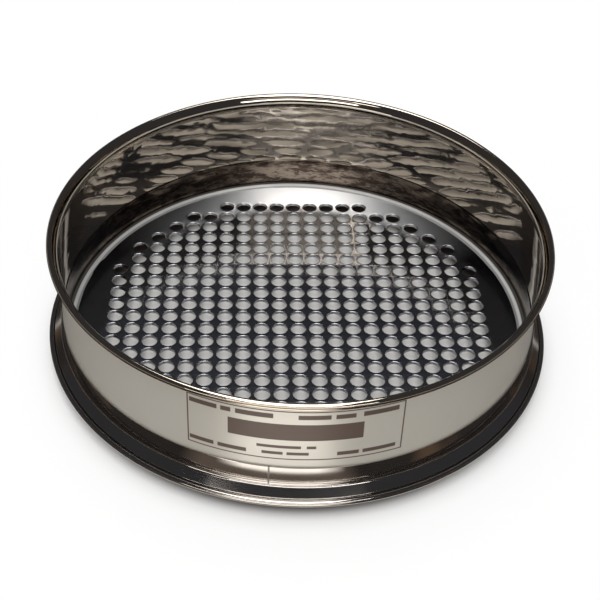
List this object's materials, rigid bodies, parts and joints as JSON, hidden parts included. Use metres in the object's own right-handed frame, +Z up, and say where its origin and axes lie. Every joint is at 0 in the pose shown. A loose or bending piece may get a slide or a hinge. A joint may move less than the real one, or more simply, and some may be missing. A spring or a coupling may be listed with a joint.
{
  "type": "test sieve",
  "caption": "Round laboratory test sieve: rolled-rim steel frame, flanged collar and nesting skirt around a perforated plate.",
  "frame": {"origin": "on the sieve's axis, at the foot of the skirt", "axes": "+Z up along the sieve's axis, rows of holes along X and Y"},
  "size_m": [0.3228, 0.3228, 0.087],
  "materials": {
    "frame_steel": "satin outside, polished inside",
    "ring_steel": "dull, slightly heat tinted",
    "polished_steel": "polished",
    "plate_steel": "bright rolled",
    "solder": "bright solder"
  },
  "bodies": {
    "root": {"upper_frame": "frame_steel", "inner_ring": "ring_steel", "flanged_collar": "polished_steel", "perforated_plate": "plate_steel", "sealing_fillet": "solder"}
  },
  "joints": []
}
